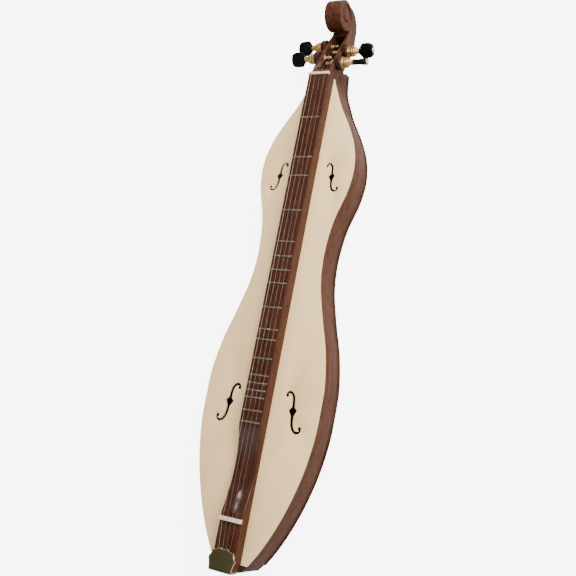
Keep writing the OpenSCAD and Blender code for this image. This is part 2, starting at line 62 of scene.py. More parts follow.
boardLow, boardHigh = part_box("fretboard")
nutLow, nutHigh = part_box("nut")
nutY = (nutLow.y + nutHigh.y) / 2
boardTop = boardHigh.z
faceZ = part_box("soundboard_treble_half")[1].z


def at(distance):  # distance in mm from the nut towards the tail
    return nutY - distance * mm


def drop(depth):  # mm below the top of the fretboard
    return boardTop - depth * mm


def makeObject(name, mesh, material=None, smoothAngle=35):
    piece = bpy.data.objects.new(name, mesh)
    bpy.context.scene.collection.objects.link(piece)
    if material:
        mesh.materials.append(material)
    smoothMesh(mesh, smoothAngle)
    return piece


def smoothMesh(mesh, angle):
    mesh.polygons.foreach_set("use_smooth", [True] * len(mesh.polygons))
    mesh.set_sharp_from_angle(angle=math.radians(angle))


def meshFrom(name, points, faces):
    mesh = bpy.data.meshes.new(name)
    mesh.from_pydata([tuple(p) for p in points], [], faces)
    shell = bmesh.new()
    shell.from_mesh(mesh)
    bmesh.ops.recalc_face_normals(shell, faces=shell.faces)
    shell.to_mesh(mesh)
    shell.free()
    return mesh


def addModifier(piece, kind, **values):
    modifier = piece.modifiers.new(kind.title(), kind)
    for key, value in values.items():
        setattr(modifier, key, value)
    return modifier


def bevelEdges(piece, width, segments, angle, **more):
    addModifier(piece, "BEVEL", width=width * mm, segments=segments, limit_method="ANGLE",
                angle_limit=math.radians(angle), **more)


def applyModifiers(piece):
    bpy.context.view_layer.update()
    graph = bpy.context.evaluated_depsgraph_get()
    mesh = bpy.data.meshes.new_from_object(piece.evaluated_get(graph))
    old = piece.data
    piece.modifiers.clear()
    piece.data = mesh
    bpy.data.meshes.remove(old)
    return piece


def loftRings(name, rings):  # rings of equal length, joined one to the next
    count = len(rings[0])
    points = [p for ring in rings for p in ring]
    faces = []
    for k in range(len(rings) - 1):
        for j in range(count):
            a = k * count + j
            b = k * count + (j + 1) % count
            faces.append((a, b, b + count, a + count))
    faces.append(tuple(range(count)))
    last = (len(rings) - 1) * count
    faces.append(tuple(last + j for j in range(count)))
    return meshFrom(name, points, faces)


def slab(name, outline, low, high):  # outline of (x, y) pairs, stood up between two heights
    rings = [[(x, y, z) for x, y in outline] for z in (low, high)]
    return loftRings(name, rings)


def acrossSlab(name, outline, half):  # outline of (y, z) pairs, spread to both sides of the middle
    rings = [[(x, y, z) for y, z in outline] for x in (-half, half)]
    return loftRings(name, rings)


def through(stations, x):  # smooth curve through (x, value) stations
    count = len(stations)
    i = max(0, min(count - 2, sum(1 for s in stations if s[0] <= x) - 1))

    def slope(k):
        a = stations[max(0, k - 1)]
        b = stations[min(count - 1, k + 1)]
        return (b[1] - a[1]) / (b[0] - a[0])

    width = stations[i + 1][0] - stations[i][0]
    t = (x - stations[i][0]) / width
    m0 = slope(i) * width
    m1 = slope(i + 1) * width
    start = stations[i][1] * (2 * t ** 3 - 3 * t ** 2 + 1) + m0 * (t ** 3 - 2 * t ** 2 + t)
    return start + stations[i + 1][1] * (3 * t ** 2 - 2 * t ** 3) + m1 * (t ** 3 - t ** 2)


def span(a, b, step):
    count = max(1, math.ceil(abs(b - a) / step))
    return [a + (b - a) * i / count for i in range(count + 1)]


def easy(t):  # smooth 0 to 1
    t = max(0.0, min(1.0, t))
    return t * t * (3 - 2 * t)


def carve(piece, cutter, operation="DIFFERENCE"):
    addModifier(piece, "BOOLEAN", object=cutter, operation=operation, solver="EXACT", use_self=True)
    applyModifiers(piece)
    bpy.data.objects.remove(cutter)
    return piece


def addNode(tree, kind, inputs=None, **settings):
    node = tree.nodes.new(kind)
    for key, value in settings.items():
        setattr(node, key, value)
    for key, value in (inputs or {}).items():
        if isinstance(value, bpy.types.NodeSocket):
            tree.links.new(value, node.inputs[key])
        else:
            node.inputs[key].default_value = value
    return node


def addMath(tree, operation, a, b=0.0, clamp=False):
    return addNode(tree, "ShaderNodeMath", {0: a, 1: b}, operation=operation, use_clamp=clamp).outputs[0]


def addRange(tree, value, low, high, toLow=0.0, toHigh=1.0):
    inputs = {"Value": value, "From Min": low, "From Max": high, "To Min": toLow, "To Max": toHigh}
    return addNode(tree, "ShaderNodeMapRange", inputs).outputs["Result"]


def addMix(tree, factor, a, b, blend="MIX"):
    node = addNode(tree, "ShaderNodeMix", data_type="RGBA", blend_type=blend)
    for socket, value in ((node.inputs[0], factor), (node.inputs[6], a), (node.inputs[7], b)):
        if isinstance(value, bpy.types.NodeSocket):
            tree.links.new(value, socket)
        else:
            socket.default_value = value
    return node.outputs[2]


def newGroup(name, inputs, outputs):
    group = bpy.data.node_groups.new(name, "ShaderNodeTree")
    for label, kind, value in inputs:
        socket = group.interface.new_socket(label, in_out="INPUT", socket_type=kind)
        if value is not None:
            socket.default_value = value
    for label, kind in outputs:
        group.interface.new_socket(label, in_out="OUTPUT", socket_type=kind)
    return group, group.nodes.new("NodeGroupInput"), group.nodes.new("NodeGroupOutput")


number = "NodeSocketFloat"
vector = "NodeSocketVector"


def woodFigureGroup():  # long streaks and open pores that run along the grain
    group, into, out = newGroup(
        "woodFigure",
        [("Vector", vector, None), ("Across", number, 260.0), ("Along", number, 7.0), ("Warp", number, 1.2)],
        [("Figure", number), ("Pores", number), ("Height", number)],
    )
    across = into.outputs["Across"]
    scale = addNode(group, "ShaderNodeCombineXYZ", {"X": across, "Y": into.outputs["Along"], "Z": across})
    stretched = addNode(
        group, "ShaderNodeVectorMath", {0: into.outputs["Vector"], 1: scale.outputs[0]}, operation="MULTIPLY"
    )
    drift = addNode(group, "ShaderNodeTexNoise",
                    {"Vector": into.outputs["Vector"], "Scale": 9.0, "Detail": 2.0})
    centred = addNode(group, "ShaderNodeVectorMath", {0: drift.outputs["Color"], 1: (0.5, 0.5, 0.5)},
                      operation="SUBTRACT")
    pushed = addNode(group, "ShaderNodeVectorMath", {0: centred.outputs[0], "Scale": into.outputs["Warp"]},
                     operation="SCALE")
    bigger = addNode(group, "ShaderNodeVectorMath", {0: pushed.outputs[0], "Scale": 6.0}, operation="SCALE")
    warped = addNode(group, "ShaderNodeVectorMath", {0: stretched.outputs[0], 1: bigger.outputs[0]},
                     operation="ADD")
    streak = addNode(group, "ShaderNodeTexNoise",
                     {"Vector": warped.outputs[0], "Scale": 1.0, "Detail": 5.0, "Roughness": 0.62})
    figure = addRange(group, streak.outputs["Fac"], 0.34, 0.66)
    fine = addNode(group, "ShaderNodeVectorMath", {0: stretched.outputs[0], 1: (9.0, 7.0, 9.0)},
                   operation="MULTIPLY")
    pore = addNode(group, "ShaderNodeTexNoise", {"Vector": fine.outputs[0], "Scale": 1.0, "Detail": 2.0})
    pores = addRange(group, pore.outputs["Fac"], 0.58, 0.72)
    height = addMath(group, "SUBTRACT", addMath(group, "MULTIPLY", figure, 0.25),
                     addMath(group, "MULTIPLY", pores, 0.75))
    group.links.new(figure, out.inputs["Figure"])
    group.links.new(pores, out.inputs["Pores"])
    group.links.new(height, out.inputs["Height"])
    return group


def growthLinesGroup():  # the straight, even lines of quarter-sawn spruce
    group, into, out = newGroup(
        "growthLines",
        [("Vector", vector, None), ("Lines", number, 240.0), ("Waver", number, 0.0022)],
        [("Line", number), ("Silk", number), ("Tint", number)],
    )
    slow = addNode(group, "ShaderNodeVectorMath", {0: into.outputs["Vector"], 1: (30.0, 3.0, 3.0)},
                   operation="MULTIPLY")
    drift = addNode(group, "ShaderNodeTexNoise", {"Vector": slow.outputs[0], "Scale": 1.0, "Detail": 3.0})
    shift = addMath(group, "MULTIPLY", addMath(group, "SUBTRACT", drift.outputs["Fac"], 0.5),
                    into.outputs["Waver"])
    parts = addNode(group, "ShaderNodeSeparateXYZ", {0: into.outputs["Vector"]})
    x = addMath(group, "ADD", parts.outputs["X"], shift)
    moved = addNode(group, "ShaderNodeCombineXYZ", {"X": x})
    wave = addNode(group, "ShaderNodeTexWave", {"Vector": moved.outputs[0], "Scale": into.outputs["Lines"]})
    line = addMath(group, "POWER", wave.outputs["Fac"], 2.5)
    fibre = addNode(group, "ShaderNodeVectorMath", {0: into.outputs["Vector"], 1: (900.0, 22.0, 900.0)},
                    operation="MULTIPLY")
    silk = addNode(group, "ShaderNodeTexNoise", {"Vector": fibre.outputs[0], "Scale": 1.0, "Detail": 3.0})
    broad = addNode(group, "ShaderNodeVectorMath", {0: into.outputs["Vector"], 1: (60.0, 2.0, 60.0)},
                    operation="MULTIPLY")
    tint = addNode(group, "ShaderNodeTexNoise", {"Vector": broad.outputs[0], "Scale": 1.0, "Detail": 3.0})
    group.links.new(line, out.inputs["Line"])
    group.links.new(silk.outputs["Fac"], out.inputs["Silk"])
    group.links.new(addRange(group, tint.outputs["Fac"], 0.3, 0.7), out.inputs["Tint"])
    return group


def edgeWearAndShadeGroup():  # corners come out lighter, partly rubbing and partly a painted highlight; hollows come out darker as painted shade
    group, into, out = newGroup(
        "edgeWearAndShade",
        [("Vector", vector, None), ("Reach", number, 0.06), ("Breakup", number, 420.0)],
        [("WornAndLit", number), ("HollowShade", number)],
    )
    bend = addNode(group, "ShaderNodeNewGeometry").outputs["Pointiness"]
    edge = addRange(group, bend, 0.505, addMath(group, "ADD", 0.505, into.outputs["Reach"]))
    # painted shade: concave spots are masked for darkening
    hollow = addRange(group, bend, 0.49, 0.42)
    # lighter convex edges: partly rubbing, partly a painted edge highlight
    patch = addNode(group, "ShaderNodeTexNoise",
                    {"Vector": into.outputs["Vector"], "Scale": into.outputs["Breakup"], "Detail": 3.0})
    wornAndLit = addMath(group, "MULTIPLY", edge, addRange(group, patch.outputs["Fac"], 0.35, 0.6), clamp=True)
    group.links.new(wornAndLit, out.inputs["WornAndLit"])
    group.links.new(hollow, out.inputs["HollowShade"])
    return group


def handlingGroup():  # faint smears and dust that change how a surface shines
    group, into, out = newGroup(
        "handling",
        [("Vector", vector, None), ("Size", number, 45.0)],
        [("Smear", number)],
    )
    smear = addNode(group, "ShaderNodeTexNoise",
                    {"Vector": into.outputs["Vector"], "Scale": into.outputs["Size"], "Detail": 4.0,
                     "Distortion": 0.6})
    group.links.new(addRange(group, smear.outputs["Fac"], 0.35, 0.68), out.inputs["Smear"])
    return group


print("building shader groups")
woodFigure = woodFigureGroup()
growthLines = growthLinesGroup()
edgeWearAndShade = edgeWearAndShadeGroup()
handling = handlingGroup()


def useGroup(tree, group, coordinates, **values):
    node = tree.nodes.new("ShaderNodeGroup")
    node.node_tree = group
    tree.links.new(coordinates, node.inputs["Vector"])
    for key, value in values.items():
        node.inputs[key].default_value = value
    return node


def startMaterial(name):
    material = bpy.data.materials.new(name)
    material.use_nodes = True
    tree = material.node_tree
    shader = tree.nodes["Principled BSDF"]
    coordinates = addNode(tree, "ShaderNodeTexCoord").outputs["Object"]
    return material, tree, shader, coordinates


def colour(r, g, b):
    return (r, g, b, 1.0)


def setBump(tree, shader, height, strength, distance):
    bump = addNode(tree, "ShaderNodeBump", {"Height": height, "Strength": strength, "Distance": distance})
    tree.links.new(bump.outputs[0], shader.inputs["Normal"])


def woodMaterial(name, dark, light, rough, gloss, coat, across=260.0, along=7.0, warp=1.2, wornAndLit=0.35,
                 pores=0.5):
    material, tree, shader, coordinates = startMaterial(name)
    figure = useGroup(tree, woodFigure, coordinates, Across=across, Along=along, Warp=warp)
    wearAndShade = useGroup(tree, edgeWearAndShade, coordinates)
    smears = useGroup(tree, handling, coordinates)
    base = addMix(tree, figure.outputs["Figure"], colour(*dark), colour(*light))
    poreAndCreaseShade = colour(*[c * 0.35 for c in dark])
    base = addMix(tree, addMath(tree, "MULTIPLY", figure.outputs["Pores"], pores), base, poreAndCreaseShade)
    # painted shade: hollows darkened towards the pore tone
    base = addMix(tree, addMath(tree, "MULTIPLY", wearAndShade.outputs["HollowShade"], 0.45), base, poreAndCreaseShade)
    # lighter edges: partly rubbing, partly a painted edge highlight
    pale = colour(*[min(1, c * 1.7 + 0.01) for c in light])
    base = addMix(tree, addMath(tree, "MULTIPLY", wearAndShade.outputs["WornAndLit"], wornAndLit), base, pale)
    tree.links.new(base, shader.inputs["Base Color"])
    roughness = addRange(tree, smears.outputs["Smear"], 0.0, 1.0, rough - 0.05, rough + 0.09)
    tree.links.new(roughness, shader.inputs["Roughness"])
    shader.inputs["Specular IOR Level"].default_value = gloss
    shader.inputs["Coat Weight"].default_value = coat
    shader.inputs["Coat Roughness"].default_value = 0.14
    setBump(tree, shader, figure.outputs["Height"], 0.25, 0.00025)
    return material


def spruceMaterial(name, early, lateAndCreaseShade, rough):
    material, tree, shader, coordinates = startMaterial(name)
    lines = useGroup(tree, growthLines, coordinates)
    smears = useGroup(tree, handling, coordinates)
    wearAndShade = useGroup(tree, edgeWearAndShade, coordinates)
    warm = colour(early[0] * 0.965, early[1] * 0.935, early[2] * 0.89)
    base = addMix(tree, lines.outputs["Tint"], colour(*early), warm)
    base = addMix(tree, addMath(tree, "MULTIPLY", lines.outputs["Line"], 0.34), base, colour(*lateAndCreaseShade))
    silk = addRange(tree, lines.outputs["Silk"], 0.3, 0.7, 0.95, 1.04)
    silkColour = addNode(tree, "ShaderNodeCombineColor", {0: silk, 1: silk, 2: silk}).outputs[0]
    base = addMix(tree, 1.0, base, silkColour, "MULTIPLY")
    # painted shade: hollows darkened towards the latewood tone
    base = addMix(tree, addMath(tree, "MULTIPLY", wearAndShade.outputs["HollowShade"], 0.3), base, colour(*lateAndCreaseShade))
    tree.links.new(base, shader.inputs["Base Color"])
    roughness = addRange(tree, smears.outputs["Smear"], 0.0, 1.0, rough - 0.05, rough + 0.08)
    tree.links.new(roughness, shader.inputs["Roughness"])
    shader.inputs["Coat Weight"].default_value = 0.25
    shader.inputs["Coat Roughness"].default_value = 0.3
    height = addMath(tree, "ADD", lines.outputs["Line"], lines.outputs["Silk"])
    setBump(tree, shader, height, 0.18, 0.0001)
    return material


def metalMaterial(name, tone, tarnishAndShade, rough, brushed=0.0, dirt=0.35):
    material, tree, shader, coordinates = startMaterial(name)
    smears = useGroup(tree, handling, coordinates, Size=90.0)
    wearAndShade = useGroup(tree, edgeWearAndShade, coordinates, Reach=0.09)
    dull = addMath(tree, "MULTIPLY", smears.outputs["Smear"], dirt)
    base = addMix(tree, dull, colour(*tone), colour(*tarnishAndShade))
    # painted shade: ring gaps and other hollows darkened nearly to black
    base = addMix(tree, addMath(tree, "MULTIPLY", wearAndShade.outputs["HollowShade"], 0.8), base,
                  colour(*[c * 0.15 for c in tarnishAndShade]))
    # lighter edges: partly rubbing, partly a painted edge highlight
    base = addMix(tree, addMath(tree, "MULTIPLY", wearAndShade.outputs["WornAndLit"], 0.4), base,
                  colour(*[min(1, c * 1.25) for c in tone]))
    tree.links.new(base, shader.inputs["Base Color"])
    shader.inputs["Metallic"].default_value = 1.0
    roughness = addRange(tree, smears.outputs["Smear"], 0.0, 1.0, rough, rough + 0.12)
    tree.links.new(roughness, shader.inputs["Roughness"])
    line = addNode(tree, "ShaderNodeMapping", {"Vector": coordinates, "Scale": (2600.0, 200.0, 2600.0)})
    scratch = addNode(tree, "ShaderNodeTexNoise", {"Vector": line.outputs[0], "Scale": 1.0, "Detail": 2.0})
    setBump(tree, shader, scratch.outputs["Fac"], 0.02 + brushed, 0.00002)
    return material


def boneMaterial(name):
    material, tree, shader, coordinates = startMaterial(name)
    figure = useGroup(tree, woodFigure, coordinates, Across=500.0, Along=500.0, Warp=2.0)
    wearAndShade = useGroup(tree, edgeWearAndShade, coordinates)
    base = addMix(tree, figure.outputs["Figure"], colour(0.66, 0.56, 0.44), colour(0.8, 0.72, 0.6))
    # painted shade: hollows of the bone darkened
    creaseShade = addMath(tree, "MULTIPLY", wearAndShade.outputs["HollowShade"], 0.6)
    base = addMix(tree, creaseShade, base, colour(0.2, 0.13, 0.08))
    tree.links.new(base, shader.inputs["Base Color"])
    tree.links.new(addRange(tree, figure.outputs["Figure"], 0, 1, 0.3, 0.42), shader.inputs["Roughness"])
    shader.inputs["Subsurface Weight"].default_value = 0.08
    shader.inputs["Subsurface Radius"].default_value = (0.002, 0.0015, 0.001)
    setBump(tree, shader, figure.outputs["Height"], 0.1, 0.0001)
    return material


def buttonMaterial(name):
    material, tree, shader, coordinates = startMaterial(name)
    smears = useGroup(tree, handling, coordinates, Size=160.0)
    wearAndShade = useGroup(tree, edgeWearAndShade, coordinates)
    base = addMix(tree, smears.outputs["Smear"], colour(0.0012, 0.002, 0.002), colour(0.003, 0.0045, 0.0045))
    # slightly lighter edges: partly rubbing, partly a painted edge highlight
    rubbedAndLit = addMath(tree, "MULTIPLY", wearAndShade.outputs["WornAndLit"], 0.25)
    base = addMix(tree, rubbedAndLit, base, colour(0.015, 0.016, 0.016))
    tree.links.new(base, shader.inputs["Base Color"])
    tree.links.new(addRange(tree, smears.outputs["Smear"], 0, 1, 0.22, 0.36), shader.inputs["Roughness"])
    shader.inputs["Specular IOR Level"].default_value = 0.07
    setBump(tree, shader, smears.outputs["Smear"], 0.05, 0.0002)
    return material


print("mixing finishes")
spruceTop = spruceMaterial("spruceTop", (1.0, 0.73, 0.4), (0.82, 0.49, 0.21), 0.42)
spruceInside = spruceMaterial("spruceInside", (0.62, 0.46, 0.28), (0.45, 0.29, 0.15), 0.7)
rosewoodSides = woodMaterial("rosewoodSides", (0.034, 0.0115, 0.006), (0.105, 0.04, 0.021), 0.4, 0.1, 0.0)
# the back is darker than the ribs: partly its own darker rosewood, partly painted shade for the back edge
# that falls in shadow
rosewoodBack = woodMaterial("rosewoodBack", (0.02, 0.007, 0.004), (0.06, 0.02, 0.012), 0.38, 0.15, 0.0)
boardWood = woodMaterial("boardWood", (0.018, 0.005, 0.0026), (0.064, 0.0195, 0.0098), 0.36, 0.12, 0.0,
                         across=330.0, along=5.0, warp=0.8)


def polishScoop(material):  # the strum hollow is smoother than the board above it
    tree = material.node_tree
    shader = tree.nodes["Principled BSDF"]
    geometry = addNode(tree, "ShaderNodeNewGeometry")
    spot = addNode(tree, "ShaderNodeSeparateXYZ", {"Vector": geometry.outputs["Position"]})
    facing = addNode(tree, "ShaderNodeSeparateXYZ", {"Vector": geometry.outputs["Normal"]})
    below = addRange(tree, spot.outputs["Z"], boardTop - 2.5 * mm, boardTop - 0.4 * mm, 1.0, 0.0)
    upward = addRange(tree, facing.outputs["Z"], 0.6, 0.85, 0.0, 1.0)
    hollow = addMath(tree, "MULTIPLY", below, upward)
    tree.links.new(addRange(tree, hollow, 0.0, 1.0, 0.0, 0.8), shader.inputs["Coat Weight"])
    shader.inputs["Coat Roughness"].default_value = 0.08


polishScoop(boardWood)
headWood = woodMaterial("headWood", (0.029, 0.009, 0.005), (0.094, 0.032, 0.016), 0.36, 0.08, 0.0,
                        across=210.0, along=14.0, warp=2.2, wornAndLit=0.5)
tailWood = woodMaterial("tailWood", (0.014, 0.0055, 0.004), (0.042, 0.016, 0.0105), 0.38, 0.12, 0.0)
bossWood = woodMaterial("bossWood", (0.009, 0.0028, 0.0018), (0.034, 0.0095, 0.006), 0.32, 0.15, 0.05,
                        across=300.0, along=40.0)
stripWood = woodMaterial("stripWood", (0.010, 0.004, 0.003), (0.028, 0.011, 0.008), 0.38, 0.15, 0.0)
fretMetal = metalMaterial("fretMetal", (0.3, 0.28, 0.23), (0.2, 0.18, 0.14), 0.22)
stringSteel = metalMaterial("stringSteel", (0.3, 0.26, 0.22), (0.2, 0.16, 0.13), 0.34)
stringWound = metalMaterial("stringWound", (0.42, 0.36, 0.3), (0.26, 0.21, 0.16), 0.36)
goldPlate = metalMaterial("goldPlate", (0.66, 0.45, 0.16), (0.42, 0.26, 0.08), 0.24, dirt=0.2)
paleCap = metalMaterial("paleCap", (0.85, 0.74, 0.5), (0.6, 0.5, 0.32), 0.25)
gearSteel = metalMaterial("gearSteel", (0.6, 0.6, 0.6), (0.35, 0.33, 0.3), 0.3)
screwSteel = metalMaterial("screwSteel", (0.7, 0.68, 0.62), (0.4, 0.36, 0.3), 0.24)
# dark cover face: the brass darkened as a painted dark reflection, the shaded copy of one brass
shadedCoverBrass = metalMaterial("shadedCoverBrass", (0.11, 0.096, 0.047), (0.082, 0.072, 0.036), 0.45, dirt=0.5)
# lit copy of the same brass for the bevelled rim and the bend: a painted highlight
litRimBrass = metalMaterial("litRimBrass", (0.80, 0.68, 0.38), (0.5, 0.4, 0.2), 0.16)
boneWhite = boneMaterial("boneWhite")
blackButton = buttonMaterial("blackButton")


def finish(piece, name, body, replaced=()):
    piece.name = name
    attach(piece, body)
    if replaced:
        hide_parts(*replaced)
    return piece


def cleanMesh(source, dissolve=0.6):  # one closed shell with flat faces joined, ready for bevels
    mesh = source.data.copy()
    shell = bmesh.new()
    shell.from_mesh(mesh)
    bmesh.ops.remove_doubles(shell, verts=shell.verts, dist=2e-6)
    flat = math.radians(dissolve)
    bmesh.ops.dissolve_limit(shell, angle_limit=flat, verts=shell.verts, edges=shell.edges)
    bmesh.ops.recalc_face_normals(shell, faces=shell.faces)
    shell.to_mesh(mesh)
    shell.free()
    mesh.materials.clear()
    return mesh


def refined(nodeName, name, body, material, bevel=0.35, segments=2, angle=40):
    piece = makeObject(name, cleanMesh(nodes[nodeName]), material)
    if bevel:
        bevelEdges(piece, bevel, segments, angle, use_clamp_overlap=True)
        applyModifiers(piece)
    smoothMesh(piece.data, 38)
    return finish(piece, name, body, [nodeName])


print("body: soundboard, ribs, back")
body = {
    "halfWidths": [
        (-36, 14.5), (0, 19), (20, 26.6), (50, 40.2), (80, 57.5), (115, 73.2), (152, 80), (190, 76.3),
        (240, 62.3), (292, 56.6), (340, 60), (390, 72.5), (440, 87.3), (490, 96), (525, 96.8), (565, 95.7),
        (610, 89.4), (650, 79.4), (690, 65.4), (730, 46.7), (760, 28), (770, 19),
    ],
    "ribEnd": 760,
    "headEnd": -36,
    "plate": 3.0,
    "rib": 2.5,
    "backEdge": 1.5,
    "stripHalf": 4,
    "fHoles": [(45.4, 167.2, 0.79), (53.8, 533.5, 1.0)],
    "fLine": [
        (-13.6, -22.6, 1.9), (-12.2, -24.9, 1.8), (-8.9, -26.1, 1.9), (-5, -24.1, 2.2), (-1.9, -19, 2.5),
        (-0.7, -12.4, 2.6), (-0.2, -5.8, 2.8), (0.3, 0, 3.2), (0.6, 7.5, 2.9), (1.1, 15.3, 2.7),
        (2.8, 23.1, 2.6), (6.1, 28.7, 2.3), (10.6, 31.1, 2), (15, 30.1, 1.9), (17.2, 27, 1.8),
        (16.9, 24.6, 1.8),
    ],
    "fBalls": [(-12.8, -21.1), (15.6, 24.4)],
    "fBall": 2.9,
    "fNick": [(-7.2, 0.7), (-2.4, -5), (2.4, -5), (7.2, -0.2), (3.5, 8), (-2.6, 8)],
}


def halfWidth(distance):
    return through(body["halfWidths"], distance)


def insetWidth(distance, thickness):
    slope = halfWidth(distance + 0.5) - halfWidth(distance - 0.5)
    return halfWidth(distance) - thickness * math.sqrt(1 + slope * slope)


def fHoleShapes(side, place):  # outlines that together make one f-hole
    outboard, distance, size = place
    line = body["fLine"]
    fineLine = []
    for i in range(len(line) - 1):
        for k in range(4):
            t = i + k / 4
            fineLine.append([through([(j, p[c]) for j, p in enumerate(line)], t) for c in range(3)])
    fineLine.append(list(line[-1]))
    left = []
    right = []
    for i, (u, v, w) in enumerate(fineLine):
        a = fineLine[max(0, i - 1)]
        b = fineLine[min(len(fineLine) - 1, i + 1)]
        run = Vector((b[0] - a[0], b[1] - a[1])).normalized()
        left.append((u - run.y * w, v + run.x * w))
        right.append((u + run.y * w, v - run.x * w))
    shapes = [left + right[::-1], body["fNick"]]
    for u, v in body["fBalls"]:
        turns = [2 * math.pi * k / 32 for k in range(32)]
        shapes.append([(u + body["fBall"] * math.cos(a), v + body["fBall"] * math.sin(a)) for a in turns])
    return [
        [(side * (outboard + u * size) * mm, at(distance) - v * size * mm) for u, v in shape]
        for shape in shapes
    ]


def soundboardHalf(side, nodeName, name):
    distances = span(0, body["ribEnd"], 3)
    outline = [(side * halfWidth(d) * mm, at(d)) for d in distances]
    outline += [(0, at(body["ribEnd"])), (0, at(0))]
    piece = makeObject(name, slab(name, outline, faceZ - body["plate"] * mm, faceZ), spruceTop)
    for place in body["fHoles"]:
        for k, shape in enumerate(fHoleShapes(side, place)):
            lift = 0.002 + 0.0001 * k
            cutter = makeObject("cutter", slab("cutter", shape, faceZ - 0.005 - lift, faceZ + lift))
            carve(piece, cutter)
    shell = bmesh.new()
    shell.from_mesh(piece.data)
    bmesh.ops.remove_doubles(shell, verts=shell.verts, dist=2e-5)
    bmesh.ops.dissolve_limit(shell, angle_limit=0.01, verts=shell.verts, edges=shell.edges)
    shell.to_mesh(piece.data)
    shell.free()
    bevelEdges(piece, 0.35, 2, 50, use_clamp_overlap=True)
    addModifier(piece, "TRIANGULATE")
    applyModifiers(piece)
    smoothMesh(piece.data, 30)
    return finish(piece, name, "instrument", [nodeName])


soundboardHalf(-1, "soundboard_bass_half", "soundboardBass")
soundboardHalf(1, "soundboard_treble_half", "soundboardTreble")


def ribPlate(side, nodeName, name):
    low = body["plate"] * mm
    high = faceZ - body["plate"] * mm
    rings = []
    for d in span(0, body["ribEnd"], 3):
        outer = side * halfWidth(d) * mm
        inner = side * insetWidth(d, body["rib"]) * mm
        y = at(d)
        rings.append([(outer, y, low), (outer, y, high), (inner, y, high), (inner, y, low)])
    piece = makeObject(name, loftRings(name, rings), rosewoodSides)
    bevelEdges(piece, 0.25, 2, 50)
    applyModifiers(piece)
    smoothMesh(piece.data, 38)
    return finish(piece, name, "instrument", [nodeName])


ribPlate(-1, "bass_rib", "ribBass")
ribPlate(1, "treble_rib", "ribTreble")


def backHalf(side, nodeName, name):
    distances = span(body["headEnd"], body["ribEnd"], 3)
    outline = [(side * insetWidth(d, -body["backEdge"]) * mm, at(d)) for d in distances]
    inner = side * body["stripHalf"] * mm
    outline += [(inner, at(body["ribEnd"])), (inner, at(body["headEnd"]))]
    piece = makeObject(name, slab(name, outline, 0, body["plate"] * mm), rosewoodBack)
    bevelEdges(piece, 0.9, 3, 50)
    addModifier(piece, "TRIANGULATE")
    applyModifiers(piece)
    smoothMesh(piece.data, 38)
    return finish(piece, name, "instrument", [nodeName])


backHalf(-1, "back_bass_half", "backBass")
backHalf(1, "back_treble_half", "backTreble")
refined("back_centre_strip", "backStrip", "instrument", stripWood, 0.2)
refined("head_block", "headBlock", "instrument", rosewoodSides, 0.6, 3)
refined("tail_block", "tailBlock", "instrument", tailWood, 0.7, 3)
for lining in ("top_linings", "back_linings"):
    refined(lining, lining.replace("_l", "L"), "instrument", spruceInside, 0)
for brace in ("top_braces", "back_braces"):
    refined(brace, brace.replace("_b", "B"), "instrument", spruceInside, 0.8)

print("fretboard")
board = {
    "half": 18.0,
    "round": 1.3,
    "scoopDepth": 12.4,
    "scoop": [(563, 0), (575, 0.26), (590, 0.68), (606, 0.93), (627, 1), (650, 0.87), (672, 0.45), (693, 0)],
    "nutSeat": 3.0,
    "bridgeSeat": (697.5, 703.0, 1.5),
    "tail": 770.0,
}


def boardHeight(distance):
    first, last = board["scoop"][0][0], board["scoop"][-1][0]
    if distance <= first or distance >= last:
        return boardTop
    return boardTop - board["scoopDepth"] * mm * max(0, through(board["scoop"], distance))


def boardRing(distance, seat=0.0):
    high = boardHeight(distance) - seat * mm
    half = board["half"] * mm
    r = board["round"] * mm if seat == 0 else 0.0001 * mm
    corner = [math.radians(a) for a in (0, 22.5, 45, 67.5, 90)]
    right = [(half - r + r * math.cos(a), at(distance), high - r + r * math.sin(a)) for a in corner]
    left = [(-x, y, z) for x, y, z in right[::-1]]
    return [(half, at(distance), faceZ)] + right + left + [(-half, at(distance), faceZ)]


seatStart, seatEnd, seatDepth = board["bridgeSeat"]
rings = [boardRing(d, board["nutSeat"]) for d in (-2, 2)]
rings += [boardRing(d) for d in [2.01] + span(12, 560, 40) + span(561, 695, 2)]
rings += [boardRing(seatStart - 0.01), boardRing(seatStart, seatDepth), boardRing(seatEnd, seatDepth)]
rings += [boardRing(seatEnd + 0.01)] + [boardRing(d) for d in (715, 745, board["tail"] - 0.3)]
fretboard = makeObject("fretboardWood", loftRings("fretboardWood", rings), boardWood, 50)
finish(fretboard, "fretboardWood", "instrument", ["fretboard"])

refined("frets", "fretWires", "instrument", fretMetal, 0.12)
refined("nut", "nutBone", "instrument", boneWhite, 0.3, 3)
refined("bridge", "bridgeBone", "instrument", boneWhite, 0.3, 3)

print("pegbox and scroll")
head = {
    "volute": (120.0, 28.0, 25.0),
    "bow": (112.0, 46.4, 32.0),
    "scrollHalf": 15.0,
    "plan": [(0, 18), (12, 18), (30, 18.5), (62, 18.5), (80, 17.4), (96, 15.6), (108, 15), (116, 15)],
    "heel": 27.9,
    "heelEnd": 32.5,
    "cavityHalf": 11.0,
    "bore": [(4.35, -7), (4.35, 1)],
    "cheek": (2.5, 0.465),
    "under": (38.1, 0.43),
    "cavity": (12, 95),  # where it starts and ends beyond the nut
    "cavityFloor": 8,
    "cavityMouth": (83, 44),
    "voxel": 0.75,
    "turnShrink": 2.05,
    "grooveDepth": 2.8,
    "eye": 8.0,
    "eyeRise": 1.2,
}
voluteY = nutY + head["volute"][0] * mm
voluteZ = drop(head["volute"][1])
voluteR = head["volute"][2] * mm


